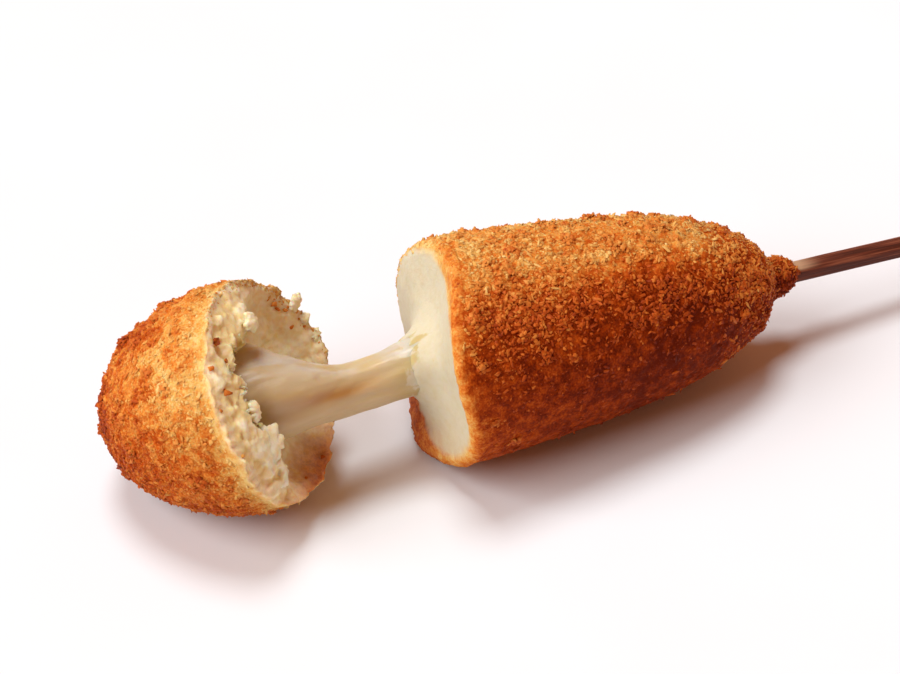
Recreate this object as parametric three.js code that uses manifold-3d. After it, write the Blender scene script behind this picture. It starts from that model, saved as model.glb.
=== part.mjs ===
// A deep-fried mozzarella corn dog on a stick, lying down and pulled apart near its end, so that a
// strand of melted cheese joins the torn-off tip to the body. Millimetres, +Z up. The origin is the
// middle of the small flat spot under the body, and +X runs along the body towards the stick.
import * as THREE from "three";
import { mergeVertices } from "three/addons/utils/BufferGeometryUtils.js";
import Module from "manifold-3d";

const wasm = await Module();
wasm.setup();

// ---- driving dimensions ----
const GAP = 0.3; // room left between two pieces that touch
const UNDER_TABLE = { length: 300, width: 100, depth: 10 }; // block that cuts the resting flats

// Body and tip are each turned about an axis that points out of their torn mouth. Depths are measured
// back from the mouth into the food. Angles round it start level, with 90 on top: the body's start on
// the -Y side and the tip's on the +Y side.
const BODY_MOUTH = new THREE.Vector3(-30, 0, 25.66);
const BODY_HEADING = 180; // degrees from +X, about Z
const BODY_TILT = 5; // degrees above the table, so the body dips towards the stick
const BODY_OUTLINE = [
  // [depth, radius], the last three being the collar of crumbs round the stick
  [-10, 25.1],
  [12, 24.4],
  [24, 23.6],
  [36, 22.5],
  [48, 20.9],
  [57, 19.0],
  [64, 16.5],
  [70, 13.9],
  [74, 11.7],
  [76.6, 9.2],
  [78.4, 6.6],
  [79.8, 5],
  [81.5, 4.6],
  [84, 4.5],
  [86.8, 3.1],
];
const BODY_SIDES = 58;
const BODY_RINGS = 41;
const BODY_FACE_RINGS = 8;
// Depth of the torn edge as it runs round the mouth: its mean, then the [cosine, sine] parts of one
// wave round the mouth, of two waves, and so on.
const BODY_TEAR = { mean: -3.8, waves: [[-3, -0.8], [-0.5, -0.8], [0.6, -1.6]] };
const TEAR_FADE = 14; // depth at which the skin's rings are round again, behind a torn edge

const TIP_MOUTH = new THREE.Vector3(-70.9, 0.6, 29.4);
const TIP_HEADING = -40;
const TIP_TILT = 26;
const TIP_TEAR = { mean: 0.4, waves: [[0.5, 0.7], [-1.1, 0.9]] };
const TIP_OUTLINE = [
  // [depth, radius]
  [0, 24.2],
  [6, 24.9],
  [12, 24.6],
  [20, 22.6],
  [28, 19.2],
  [34, 14.6],
  [38.5, 9],
  [41, 3],
];
const TIP_SIDES = 56;
const TIP_RINGS = 23;
const CRATER_RINGS = 15;
// The torn mouth, from the crust's edge to the bottom of the crater, as [depth, radius]: thick bread
// that stands proud on one side, and a thin wall on the other.
const CRATER_THICK = [
  [0, 24.2],
  [-1.6, 20.5],
  [-2.6, 16.8],
  [-1.6, 14],
  [1.5, 12.6],
  [4.5, 10.5],
  [6.5, 6],
  [7, 0],
];
const CRATER_THIN = [
  [0, 24.2],
  [0.6, 22.6],
  [2, 20.8],
  [4, 18.4],
  [5.5, 15],
  [6.5, 11],
  [7, 6],
  [7, 0],
];
const THIN_WALL_AT = -35; // degrees round the mouth where the wall is thinnest
const THIN_WALL_BLEND = [-0.45, 0.35]; // cosines of the angle from there where it is thick and thin

// Cheese: a melted core that fills both halves, drawn out into one strand: [x, y, z, radius].
const CHEESE_PATH = [
  [-90.5, 16.8, 17.4, 5],
  [-86.5, 13.6, 19.6, 9],
  [-80, 8.2, 23.8, 11.6],
  [-75, 4.6, 25.6, 11.2],
  [-69.5, 1.6, 26.4, 9],
  [-62, 0.1, 25.6, 6.7],
  [-54.9, -0.3, 24.4, 5.6],
  [-46, -0.3, 24.6, 5.7],
  [-40, 0, 24.9, 6.3],
  [-34, 0, 25.2, 7.4],
  [-24, 0, 24.8, 8.4],
  [-4, 0, 23.4, 8.4],
  [14, 0, 21.8, 7.8],
  [18, 0, 21.5, 5],
];
const CHEESE_CAP = 1.5; // how far the rounded ends reach past the path
const CHEESE_SIDES = 20;
const CHEESE_RINGS = 38;

// Stick: a rounded square bar on the body's axis, with its ends measured as depths of the body.
const STICK_FROM = 18;
const STICK_TO = 183;
const STICK_WIDTH = 4.5;
const STICK_SIDES = 24;
const STICK_SQUARENESS = 2.6; // 2 would be round
const STICK_CHAMFER = 0.4;

// Relief of the crumb coating and of the torn bread.
const CRUMB = { fine: 0.85, coarse: 0.4, clump: 2.4, clumpFrom: 0.42 };
const CRUMB_CELL = { fine: 1.7, coarse: 5.5, clump: 3.4 };
const PRESSED = { below: 0.9, height: 0.5 }; // crumbs this near the table lie level and reach it
const BREAD = { fine: 0.9, coarse: 0.8 };
const BREAD_CELL = { fine: 2.3, coarse: 6 };
const EDGE_RELIEF = 1.6; // raggedness of a torn rim, in times that of the bread
const EDGE_SHARE = 0.4; // width of the torn rim, in rings
const POLE_STEP = 0.4; // how far a rounded end reaches past its last ring

// ---- repeatable noise ----
function hash(i, j, k) {
  const s = Math.sin(i * 127.1 + j * 311.7 + k * 74.7) * 43758.5453;
  return 2 * (s - Math.floor(s)) - 1;
}

// Smooth value noise between -1 and 1 with one free value in each cell.
function noise(p, cell, seed = 0) {
  const at = [p.x / cell + seed, p.y / cell + seed, p.z / cell - seed];
  const low = at.map(Math.floor);
  const ease = at.map((a, n) => THREE.MathUtils.smoothstep(a - low[n], 0, 1));
  let sum = 0;
  for (let corner = 0; corner < 8; corner++) {
    const bit = [corner & 1, (corner >> 1) & 1, (corner >> 2) & 1];
    const share = bit.reduce((w, b, n) => w * (b ? ease[n] : 1 - ease[n]), 1);
    sum += share * hash(low[0] + bit[0], low[1] + bit[1], low[2] + bit[2]);
  }
  return sum;
}

// Height of the fried crumb coating at a point: fine crags, slow swells and a few large clumps.
function crumbHeight(p) {
  if (p.z < PRESSED.below) return PRESSED.height;
  const clump = Math.max(0, noise(p, CRUMB_CELL.clump, 7) - CRUMB.clumpFrom);
  return (
    CRUMB.fine * noise(p, CRUMB_CELL.fine) +
    CRUMB.coarse * noise(p, CRUMB_CELL.coarse, 3) +
    CRUMB.clump * clump
  );
}

// Height of the torn bread at a point: coarse lumps with finer tatters on them.
function breadHeight(p) {
  return BREAD.fine * noise(p, BREAD_CELL.fine, 5) + BREAD.coarse * noise(p, BREAD_CELL.coarse, 9);
}

// ---- shape helpers ----
const radians = THREE.MathUtils.degToRad;

// A smooth line through [a, b] pairs.
function smoothLine(pairs) {
  return new THREE.SplineCurve(pairs.map(([a, b]) => new THREE.Vector2(a, b)));
}

// The axes of a mouth at a point: "out" is given, "side" is level, and "rise" completes them.
function mouthAt(centre, out) {
  const side = new THREE.Vector3(0, 0, 1).cross(out).normalize();
  return { centre, out, side, rise: new THREE.Vector3().crossVectors(out, side) };
}

function direction(heading, tilt) {
  const [turn, up] = [radians(heading), radians(tilt)];
  return new THREE.Vector3(Math.cos(turn) * Math.cos(up), Math.sin(turn) * Math.cos(up), Math.sin(up));
}

// The point at a depth behind a mouth, off its axis by a radius at an angle from "side".
function polar(mouth, depth, radius, angle) {
  return mouth.centre
    .clone()
    .addScaledVector(mouth.out, -depth)
    .addScaledVector(mouth.side, radius * Math.cos(angle))
    .addScaledVector(mouth.rise, radius * Math.sin(angle));
}

// A closed surface of rings of points, with one pole before the first ring and one after the last.
// Seen from outside the first pole, the rings turn anticlockwise.
function closedRings(firstPole, rings, lastPole) {
  const sides = rings[0].length;
  const points = [firstPole, ...rings.flat(), lastPole];
  const index = [];
  for (let j = 0; j < sides; j++) {
    const next = (j + 1) % sides;
    index.push(0, 1 + j, 1 + next);
    for (let i = 0; i + 1 < rings.length; i++) {
      const a = 1 + i * sides + j;
      const b = 1 + i * sides + next;
      const [c, d] = [a + sides, b + sides];
      // Neighbouring squares are split along opposite diagonals, so that crags don't line up.
      index.push(...((i + j) % 2 ? [a, c, b, b, c, d] : [a, c, d, a, d, b]));
    }
    const end = 1 + (rings.length - 1) * sides;
    index.push(points.length - 1, end + next, end + j);
  }
  return new THREE.BufferGeometry().setFromPoints(points).setIndex(index);
}

// Moves each point of a grid of rings outwards along the surface by height(point, ring).
function roughen(rings, height) {
  const sides = rings[0].length;
  return rings.map((ring, i) =>
    ring.map((p, j) => {
      const before = rings[Math.max(i - 1, 0)][j];
      const after = rings[Math.min(i + 1, rings.length - 1)][j];
      const across = new THREE.Vector3().subVectors(ring[(j + 1) % sides], ring[(j + sides - 1) % sides]);
      const normal = new THREE.Vector3().subVectors(after, before).cross(across).normalize();
      return p.clone().addScaledVector(normal, height(p, i));
    }),
  );
}

// How deep a torn edge lies at an angle round its mouth.
function tearDepth(tear, angle) {
  const wave = ([cos, sin], n) => cos * Math.cos((n + 1) * angle) + sin * Math.sin((n + 1) * angle);
  return tear.waves.map(wave).reduce((sum, part) => sum + part, tear.mean);
}

// How deep the skin lies there, for a ring that a level tear at the depth "edge" would leave alone.
function skinDepth(tear, angle, depth, edge) {
  const fade = 1 - THREE.MathUtils.smoothstep(depth, edge, TEAR_FADE);
  return depth + fade * (tearDepth(tear, angle) - edge);
}

function makeRings(count, sides, pointAt) {
  const angles = Array.from({ length: sides }, (_, j) => (2 * Math.PI * j) / sides);
  return Array.from({ length: count }, (_, i) => angles.map((angle) => pointAt(i, angle)));
}

// ---- booleans ----
function solidOf(geometry) {
  const bare = geometry.clone();
  bare.deleteAttribute("normal");
  bare.deleteAttribute("uv");
  const merged = mergeVertices(bare);
  const mesh = new wasm.Mesh({
    numProp: 3,
    vertProperties: merged.attributes.position.array,
    triVerts: new Uint32Array(merged.index.array),
  });
  return new wasm.Manifold(mesh);
}

function geometryOf(solid) {
  const mesh = solid.getMesh();
  const geometry = new THREE.BufferGeometry();
  geometry.setAttribute("position", new THREE.BufferAttribute(mesh.vertProperties, 3));
  geometry.setIndex(new THREE.BufferAttribute(mesh.triVerts, 1));
  geometry.computeVertexNormals();
  return geometry;
}

// Everything below the table, which cuts the flat spots that the food rests on.
function belowTable() {
  const { length, width, depth } = UNDER_TABLE;
  return solidOf(new THREE.BoxGeometry(length, width, depth).translate(0, 0, -depth / 2));
}

// The largest piece of a solid, without any scrap that a cut left loose.
function largestPiece(solid) {
  return solid.decompose().reduce((best, piece) => (piece.volume() > best.volume() ? piece : best));
}

// ---- body ----
const bodyMouth = mouthAt(BODY_MOUTH, direction(BODY_HEADING, BODY_TILT));

function makeBodyShape() {
  const outline = smoothLine(BODY_OUTLINE);
  const [edgeDepth, edgeRadius] = BODY_OUTLINE[0];
  const face = makeRings(BODY_FACE_RINGS, BODY_SIDES, (i, angle) => {
    const share = (i + 1) / (BODY_FACE_RINGS + EDGE_SHARE);
    const depth = THREE.MathUtils.lerp(BODY_TEAR.mean, tearDepth(BODY_TEAR, angle), share);
    return polar(bodyMouth, depth, edgeRadius * share, angle);
  });
  const skin = makeRings(BODY_RINGS, BODY_SIDES, (i, angle) => {
    const { x: depth, y: radius } = outline.getPointAt(i / (BODY_RINGS - 1));
    return polar(bodyMouth, skinDepth(BODY_TEAR, angle, depth, edgeDepth), radius, angle);
  });
  const rings = roughen([...face, ...skin], (p, i) => {
    if (i >= BODY_FACE_RINGS) return crumbHeight(p);
    return breadHeight(p) * (i + 1 === BODY_FACE_RINGS ? EDGE_RELIEF : 1);
  });
  const pole = (depth) => polar(bodyMouth, depth, 0, 0);
  return solidOf(closedRings(pole(BODY_TEAR.mean), rings, pole(BODY_OUTLINE.at(-1)[0] + POLE_STEP)));
}

// ---- tip ----
const tipMouth = mouthAt(TIP_MOUTH, direction(TIP_HEADING, TIP_TILT));
const thickWall = smoothLine(CRATER_THICK);
const thinWall = smoothLine(CRATER_THIN);

// The torn surface at a share of the way in from the crust's edge, as depth (x) and radius (y).
function craterPoint(share, angle) {
  const thinness = THREE.MathUtils.smoothstep(Math.cos(angle - radians(THIN_WALL_AT)), ...THIN_WALL_BLEND);
  const point = thickWall.getPoint(share).lerp(thinWall.getPoint(share), thinness);
  point.x += tearDepth(TIP_TEAR, angle) * (1 - share);
  return point;
}

function makeTipShape() {
  const outline = smoothLine(TIP_OUTLINE);
  const crater = makeRings(CRATER_RINGS, TIP_SIDES, (i, angle) => {
    const { x: depth, y: radius } = craterPoint(1 - (i + 1) / (CRATER_RINGS + EDGE_SHARE), angle);
    return polar(tipMouth, depth, radius, angle);
  });
  const skin = makeRings(TIP_RINGS, TIP_SIDES, (i, angle) => {
    const { x: depth, y: radius } = outline.getPointAt(i / TIP_RINGS);
    return polar(tipMouth, skinDepth(TIP_TEAR, angle, depth, TIP_OUTLINE[0][0]), radius, angle);
  });
  const rings = roughen([...crater, ...skin], (p, i) => {
    if (i >= CRATER_RINGS) return crumbHeight(p);
    return breadHeight(p) * (i > CRATER_RINGS / 2 ? EDGE_RELIEF : 1);
  });
  const floor = polar(tipMouth, CRATER_THICK.at(-1)[0], 0, 0);
  const apex = polar(tipMouth, TIP_OUTLINE.at(-1)[0] + POLE_STEP, 0, 0);
  return solidOf(closedRings(floor, rings, apex));
}

// ---- cheese ----
// The cheese grown outwards by a margin: with none it is the piece itself, with the gap its hollow.
function makeCheeseShape(margin) {
  const path = new THREE.CatmullRomCurve3(CHEESE_PATH.map(([x, y, z]) => new THREE.Vector3(x, y, z)));
  const last = CHEESE_PATH.length - 1;
  const width = smoothLine(CHEESE_PATH.map(([, , , radius], n) => [n / last, radius]));
  const at = (t) => mouthAt(path.getPoint(t), path.getTangent(t).negate());
  const rings = makeRings(CHEESE_RINGS, CHEESE_SIDES, (i, angle) => {
    const t = i / (CHEESE_RINGS - 1);
    return polar(at(t), 0, width.getPoint(t).y + margin, angle);
  });
  const cap = CHEESE_CAP + margin;
  return solidOf(closedRings(polar(at(0), -cap, 0, 0), rings, polar(at(1), cap, 0, 0)));
}

// ---- stick ----
function makeStickShape(margin) {
  const half = STICK_WIDTH / 2 + margin;
  const [from, to] = [STICK_FROM - margin, STICK_TO + margin];
  const stations = [
    [from, half - STICK_CHAMFER],
    [from + STICK_CHAMFER, half],
    [to - STICK_CHAMFER, half],
    [to, half - STICK_CHAMFER],
  ];
  const rings = makeRings(stations.length, STICK_SIDES, (i, angle) => {
    const [depth, reach] = stations[i];
    const [across, up] = [Math.cos(angle), Math.sin(angle)].map((a) => Math.abs(a) ** STICK_SQUARENESS);
    return polar(bodyMouth, depth, reach * (across + up) ** (-1 / STICK_SQUARENESS), angle);
  });
  return solidOf(closedRings(polar(bodyMouth, from, 0, 0), rings, polar(bodyMouth, to, 0, 0)));
}

// ---- assembly ----
function piece(name, solid, color, roughness) {
  const material = new THREE.MeshStandardMaterial({ color, roughness, metalness: 0 });
  const mesh = new THREE.Mesh(geometryOf(largestPiece(solid)), material);
  mesh.name = name;
  return mesh;
}

const cheeseHollow = makeCheeseShape(GAP);
const stickHollow = makeStickShape(GAP);
const table = belowTable();
const body = makeBodyShape().subtract(cheeseHollow).subtract(stickHollow).subtract(table);
const tip = makeTipShape().subtract(cheeseHollow).subtract(table);
const cheese = makeCheeseShape(0).subtract(stickHollow);

const cornDog = new THREE.Group();
cornDog.add(
  piece("body", body, 0xc4691c, 0.75),
  piece("tip", tip, 0xcc7a2a, 0.75),
  piece("cheese", cheese, 0xe6d3a6, 0.35),
  piece("stick", makeStickShape(0), 0x7a4a34, 0.6),
);

export default cornDog;
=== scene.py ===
"""A deep-fried mozzarella corn dog on a stick, lying down and pulled apart near its end, so that a
strand of melted cheese joins the torn-off tip to the body. Shapes are worked out in millimetres in the
part's frame, with the same named sizes as the solids, and turned into metres as each mesh is made."""

import itertools
import math

import bpy
import numpy as np
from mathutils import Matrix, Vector


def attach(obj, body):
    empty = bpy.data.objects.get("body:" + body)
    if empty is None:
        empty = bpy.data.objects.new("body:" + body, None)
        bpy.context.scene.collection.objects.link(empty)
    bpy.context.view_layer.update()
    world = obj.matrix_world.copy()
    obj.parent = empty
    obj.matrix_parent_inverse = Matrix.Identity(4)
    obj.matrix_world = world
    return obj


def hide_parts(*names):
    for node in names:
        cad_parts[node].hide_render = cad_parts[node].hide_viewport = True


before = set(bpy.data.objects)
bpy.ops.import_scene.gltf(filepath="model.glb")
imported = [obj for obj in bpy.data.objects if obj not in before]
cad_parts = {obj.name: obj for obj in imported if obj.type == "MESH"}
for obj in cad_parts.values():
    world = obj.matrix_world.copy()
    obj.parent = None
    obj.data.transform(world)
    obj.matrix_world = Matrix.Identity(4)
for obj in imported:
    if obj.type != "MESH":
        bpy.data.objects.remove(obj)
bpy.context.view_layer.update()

MM = 0.001
RNG = np.random.default_rng(11)

# ---- sizes shared with the solids ----
BODY_MOUTH, BODY_HEADING, BODY_TILT = (-30, 0, 25.66), 180, 5
BODY_OUTLINE = [  # (depth, radius)
    (-10, 25.1), (12, 24.4), (24, 23.6), (36, 22.5), (48, 20.9), (57, 19.0), (64, 16.5),
    (70, 13.9), (74, 11.7), (76.6, 9.2), (78.4, 6.6), (79.8, 5), (81.5, 4.6), (84, 4.5), (86.8, 3.1),
]
BODY_TEAR = (-3.8, [(-3, -0.8), (-0.5, -0.8), (0.6, -1.6)])  # mean depth, (cosine, sine) waves
TEAR_FADE = 14

TIP_MOUTH, TIP_HEADING, TIP_TILT = (-70.9, 0.6, 29.4), -40, 26
TIP_TEAR = (0.4, [(0.5, 0.7), (-1.1, 0.9)])
TIP_OUTLINE = [
    (0, 24.2), (6, 24.9), (12, 24.6), (20, 22.6), (28, 19.2), (34, 14.6), (38.5, 9), (41, 3),
]
TIP_RADIUS = TIP_OUTLINE[0][1]
CRATER_THICK = [  # (depth, radius) inside the tip, where its bread is thick and where it is a thin wall
    (0, 24.2), (-1.6, 20.5), (-2.6, 16.8), (-1.6, 14), (1.5, 12.6), (4.5, 10.5), (6.5, 6), (7, 0),
]
CRATER_THIN = [
    (0, 24.2), (0.6, 22.6), (2, 20.8), (4, 18.4), (5.5, 15), (6.5, 11), (7, 6), (7, 0),
]
THIN_WALL_AT = -35  # its middle, in degrees
THIN_WALL_BLEND = (-0.45, 0.35)  # it fades out between these cosines from there

CHEESE_PATH = [  # (x, y, z, radius)
    (-90.5, 16.8, 17.4, 5), (-86.5, 13.6, 19.6, 9), (-80, 8.2, 23.8, 11.6), (-75, 4.6, 25.6, 11.2),
    (-69.5, 1.6, 26.4, 9), (-62, 0.1, 25.6, 6.7), (-54.9, -0.3, 24.4, 5.6), (-46, -0.3, 24.6, 5.7),
    (-40, 0, 24.9, 6.3), (-34, 0, 25.2, 7.4), (-24, 0, 24.8, 8.4), (-4, 0, 23.4, 8.4),
    (14, 0, 21.8, 7.8), (18, 0, 21.5, 5),
]
STICK_FROM, STICK_TO, STICK_WIDTH, STICK_SQUARENESS = 18, 183, 4.5, 2.6

# ---- sizes of the detail ----
GRID = 0.44  # spacing of the points on crust and bread
SIDES = 360  # points round the widest rings
HALVED_UP_TO = (12, 6, 3)  # radii up to which a ring has half as many points
INSET = 0.45  # the batter lies this far under the outline, which the crumbs reach
END_CAP = 0.4  # the last point of an outline lies this far past its last ring
FLOOR_CLEAR = 0.02  # the lowest that any point lies above the table


# ---- repeatable noise ----
AXIS_FACTORS = (0x9E3779B97F4A7C15, 0xC2B2AE3D27D4EB4F, 0x165667B19E3779F9)
SEED_FACTOR = 7919
MIXING = ((33, 0xFF51AFD7ED558CCD), (29, 0xC4CEB9FE1A85EC53))  # (shift, factor)
RANDOM_BITS = 24
SEED_SHIFT = 0.37  # how far each seed moves the cells, in cells
LAYER_SHARES = (1, 1 / 2, 1 / 4)
DOME_REACH = 0.75  # radius of a dome, in cells


def cell_random(cell, seed):
    """Numbers between 0 and 1, one for each whole-numbered cell."""
    whole = cell.astype(np.int64).astype(np.uint64)
    i, j, k = (whole[..., n] * np.uint64(factor) for n, factor in enumerate(AXIS_FACTORS))
    mixed = i ^ j ^ (k + np.uint64(seed * SEED_FACTOR + 1))
    for shift, factor in MIXING:
        mixed ^= mixed >> np.uint64(shift)
        mixed = mixed * np.uint64(factor)
    return (mixed >> np.uint64(64 - RANDOM_BITS)).astype(float) / 2**RANDOM_BITS


def noise(p, cell, seed=0):
    """Smooth value noise between -1 and 1; cell is one size or one for each axis."""
    q = p / np.asarray(cell, float) + SEED_SHIFT * seed
    low = np.floor(q)
    ease = (q - low) ** 2 * (3 - 2 * (q - low))
    total = 0
    for corner in itertools.product((0, 1), repeat=3):
        share = np.prod(np.where(corner, ease, 1 - ease), axis=-1)
        total = total + share * cell_random(low + corner, seed)
    return 2 * total - 1


def octaves(p, cell, seed=0):
    """Layers of noise from -1 to 1, each half as large and half as strong as the one before."""
    layers = [share * noise(p, cell * share, seed + n) for n, share in enumerate(LAYER_SHARES)]
    return sum(layers) / sum(LAYER_SHARES)


def ridged(p, cell, seed=0):
    """Noise from -1 to 1 with sharp ridges."""
    return 1 - 2 * np.abs(noise(p, cell, seed)) ** 0.8


def domes(p, cell, seed):
    """Round lumps from 0 to 1, about one in each cell and of uneven heights."""
    q = p / cell + SEED_SHIFT * seed
    low = np.floor(q)
    top = np.zeros(len(p))
    for step in itertools.product((-1, 0, 1), repeat=3):
        near = low + step
        centre = near + np.stack([cell_random(near, seed + n) for n in (1, 2, 3)], -1)
        off = np.linalg.norm(centre - q, axis=-1) / DOME_REACH
        highest = 0.45 + 0.55 * cell_random(near, seed + 4)
        top = np.maximum(top, highest * np.clip(1 - off**2, 0, 1))
    return top


# ---- curves of one number ----
def smoothstep(x, low, high):
    t = np.clip((np.asarray(x, float) - low) / (high - low), 0, 1)
    return t * t * (3 - 2 * t)


def hump(x, middle, width):
    return np.exp(-(((x - middle) / width) ** 2))


def wrap(degrees):
    """The same angle between -180 and 180."""
    return (degrees + 180) % 360 - 180


# ---- shape helpers ----
DENSE = 40  # samples for each given point, before they are spaced evenly


def smooth_line(points, count):
    """A Catmull-Rom line through the points, sampled evenly by its parameter."""
    points = np.asarray(points, float)
    last = len(points) - 1
    t = np.linspace(0, last, count)
    i = np.minimum(np.floor(t).astype(int), last - 1)
    w = (t - i)[:, None]
    p0, p1, p2, p3 = (points[np.clip(i + n, 0, last)] for n in (-1, 0, 1, 2))
    v0, v1 = (p2 - p0) / 2, (p3 - p1) / 2
    return (2 * (p1 - p2) + v0 + v1) * w**3 + (3 * (p2 - p1) - 2 * v0 - v1) * w**2 + v0 * w + p1


def even_line(points, spacing):
    """The same line with its points the same distance apart, and how far each is from its start."""
    dense = smooth_line(points, DENSE * len(points))
    length = np.r_[0, np.cumsum(np.linalg.norm(np.diff(dense, axis=0), axis=1))]
    at = np.linspace(0, length[-1], int(round(length[-1] / spacing)) + 1)
    return np.stack([np.interp(at, length, dense[:, n]) for n in range(dense.shape[1])], 1), at


def unit(v):
    return v / np.maximum(np.linalg.norm(v, axis=-1, keepdims=True), 1e-12)


class Mouth:
    """Axes at a torn end: out of the mouth, level to the side, and up."""

    def __init__(self, centre, heading, tilt):
        turn, up = math.radians(heading), math.radians(tilt)
        self.centre = np.array(centre, float)
        self.out = np.array([math.cos(turn) * math.cos(up), math.sin(turn) * math.cos(up), math.sin(up)])
        self.side = unit(np.cross([0, 0, 1], self.out))
        self.rise = np.cross(self.out, self.side)

    def polar(self, depth, radius, angle):
        """The point at a depth behind the mouth, off its axis by a radius at an angle from "side"."""
        depth, across, up = np.broadcast_arrays(depth, radius * np.cos(angle), radius * np.sin(angle))
        axes = np.stack([-self.out, self.side, self.rise])
        return self.centre + np.stack([depth, across, up], -1) @ axes


body_mouth = Mouth(BODY_MOUTH, BODY_HEADING, BODY_TILT)
tip_mouth = Mouth(TIP_MOUTH, TIP_HEADING, TIP_TILT)


def tear_depth(tear, angle):
    """How deep a torn edge lies at each angle round it."""
    mean, waves = tear
    return mean + sum(c * np.cos(n * angle) + s * np.sin(n * angle) for n, (c, s) in enumerate(waves, 1))


def sides_at(radius):
    """How many points a ring has, fewer where it is narrow."""
    halvings = sum(1 for limit in HALVED_UP_TO if radius <= limit)
    return SIDES // 2**halvings


def ring_angles(count):
    return 2 * np.pi * np.arange(count) / count


def stitch(a, na, b, nb):
    """Triangles between a ring of na points that starts at index a and the next ring of nb from b.
    The counts are equal, or one is half of the other."""
    j = np.arange(min(na, nb))
    if na == nb:
        k = (j + 1) % na
        odd = ((j + a // na) % 2 == 1)[:, None]  # squares that are cut along the other diagonal
        one = np.where(odd, np.stack([a + j, b + j, a + k], 1), np.stack([a + j, b + j, b + k], 1))
        two = np.where(odd, np.stack([a + k, b + j, b + k], 1), np.stack([a + j, b + k, a + k], 1))
        return np.concatenate([one, two])
    if na > nb:
        first, middle, last = a + 2 * j, a + 2 * j + 1, a + (2 * j + 2) % na
        c, d = b + j, b + (j + 1) % nb
        parts = [(first, c, middle), (middle, c, d), (middle, d, last)]
    else:
        first, middle, last = b + 2 * j, b + 2 * j + 1, b + (2 * j + 2) % nb
        c, d = a + j, a + (j + 1) % na
        parts = [(c, first, middle), (c, middle, d), (d, middle, last)]
    return np.concatenate([np.stack(part, 1) for part in parts])


def closed_surface(first_pole, rings, last_pole):
    """Points and triangles of a closed surface of rings, with a pole before and one after them."""
    starts = np.cumsum([1] + [len(r) for r in rings])
    points = np.concatenate([[first_pole], *rings, [last_pole]])
    j = np.arange(len(rings[0]))
    parts = [np.stack([0 * j, 1 + j, 1 + (j + 1) % len(j)], 1)]
    for n in range(len(rings) - 1):
        parts.append(stitch(starts[n], len(rings[n]), starts[n + 1], len(rings[n + 1])))
    j = np.arange(len(rings[-1]))
    end = np.full_like(j, len(points) - 1)
    parts.append(np.stack([end, starts[-2] + (j + 1) % len(j), starts[-2] + j], 1))
    return points, np.concatenate(parts)


def vertex_normals(points, triangles):
    """The mean direction of the triangles round each point, larger ones counting for more."""
    a, b, c = (points[triangles[:, n]] for n in range(3))
    face = np.cross(b - a, c - a)
    total = [np.bincount(triangles.ravel(), np.repeat(face[:, n], 3), len(points)) for n in range(3)]
    return unit(np.stack(total, 1))


def spread(rings, value):
    """One number for each point of a closed surface, from one array for each ring."""
    rows = [np.broadcast_to(value(n), len(r)) for n, r in enumerate(rings)]
    return np.concatenate([[rows[0].mean()], *rows, [rows[-1].mean()]])


def add_object(name, data):
    made = bpy.data.objects.new(name, data)
    bpy.context.scene.collection.objects.link(made)
    return made


def make_mesh(name, points, triangles, material, slot, normals=None, **attributes):
    """A smooth-shaded piece on the root body, with named numbers at its points for the material."""
    mesh = bpy.data.meshes.new(name)
    mesh.vertices.add(len(points))
    mesh.vertices.foreach_set("co", (points * MM).astype(np.float32).ravel())
    mesh.loops.add(3 * len(triangles))
    mesh.loops.foreach_set("vertex_index", triangles.astype(np.int32).ravel())
    mesh.polygons.add(len(triangles))
    mesh.polygons.foreach_set("loop_start", np.arange(0, 3 * len(triangles), 3, dtype=np.int32))
    mesh.update(calc_edges=True)
    mesh.polygons.foreach_set("use_smooth", np.ones(len(triangles), bool))
    for key, values in attributes.items():
        mesh.attributes.new(key, "FLOAT", "POINT").data.foreach_set("value", values.astype(np.float32))
    mesh.materials.append(material)
    if normals is not None:
        mesh.normals_split_custom_set_from_vertices(normals)
    piece = add_object(name, mesh)
    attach(piece, "root")
    return piece


def above_table(points):
    """The points, with none of them left under the table."""
    points[:, 2] = np.maximum(points[:, 2], FLOOR_CLEAR)
    return points


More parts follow.
